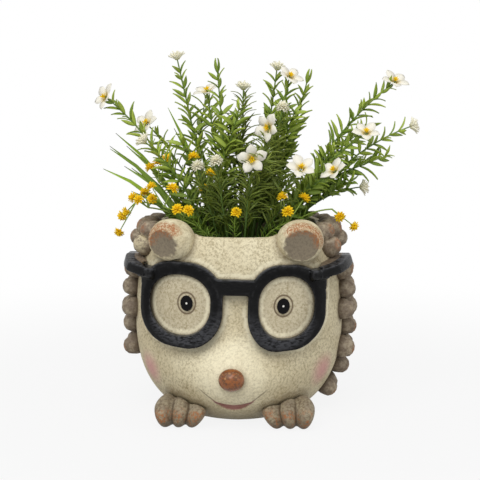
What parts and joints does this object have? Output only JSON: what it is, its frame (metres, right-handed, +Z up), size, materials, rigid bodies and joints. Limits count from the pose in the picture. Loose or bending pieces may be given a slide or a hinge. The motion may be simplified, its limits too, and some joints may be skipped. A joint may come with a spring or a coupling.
{
  "type": "animal planter",
  "caption": "Stoneware hedgehog planter in black spectacles, with a quilled coat and an artificial planting that lifts out of its bowl.",
  "frame": {"origin": "middle of the pot's flat base, on the ground", "axes": "+Z up, the face looks along -Y, +X to the viewer's right"},
  "size_m": [0.2874, 0.2009, 0.3161],
  "materials": {
    "clay": "matt, speckled and crackled",
    "ears": "matt, speckled brown",
    "paws": "matt, rusty toe tips",
    "quills": "matt, worn tips",
    "spectacles": "satin black",
    "pupils": "gloss black",
    "nose": "gloss brown",
    "foam": "open-celled, matt",
    "foliage": "matt",
    "grass": "matt",
    "twigs": "matt",
    "pompons": "matt, frilled",
    "petals": "matt, thin",
    "buds": "matt, frilled"
  },
  "bodies": {
    "pot": {"ear_left": "ears", "ear_right": "ears", "nose": "nose", "paw_left": "paws", "paw_right": "paws", "pot_body": "clay", "pupil_left": "pupils", "pupil_right": "pupils", "quill_row_1": "quills", "quill_row_2": "quills", "quill_row_3": "quills", "quill_row_4": "quills", "quill_row_5": "quills", "quill_row_6": "quills", "quill_row_7": "quills", "quill_row_8": "quills", "quill_row_9": "quills", "spectacle_arm_left": "spectacles", "spectacle_arm_right": "spectacles", "spectacle_front": "spectacles"},
    "planting": {"cream_buds": "buds", "flower_spray_01": "foliage", "flower_spray_02": "foliage", "flower_spray_03": "foliage", "flower_spray_04": "foliage", "flower_spray_05": "foliage", "flower_spray_06": "foliage", "flower_spray_07": "foliage", "flower_spray_08": "foliage", "flower_spray_09": "foliage", "flower_spray_10": "foliage", "flower_spray_11": "foliage", "flower_spray_12": "foliage", "flower_spray_13": "foliage", "flower_spray_14": "foliage", "flower_spray_15": "foliage", "flower_spray_16": "foliage", "flower_spray_17": "foliage", "flower_spray_18": "foliage", "flower_spray_19": "foliage", "flower_spray_20": "foliage", "flower_spray_21": "foliage", "foam_block": "foam", "grass_blades": "grass", "white_flowers": "petals", "yellow_pompons": "pompons", "yellow_sprigs": "twigs"}
  },
  "joints": [
    {"name": "planting_lift", "type": "slide", "parent": "pot", "child": "planting", "axis": [0, 0, 1], "range_m": [0, 0.18]}
  ]
}
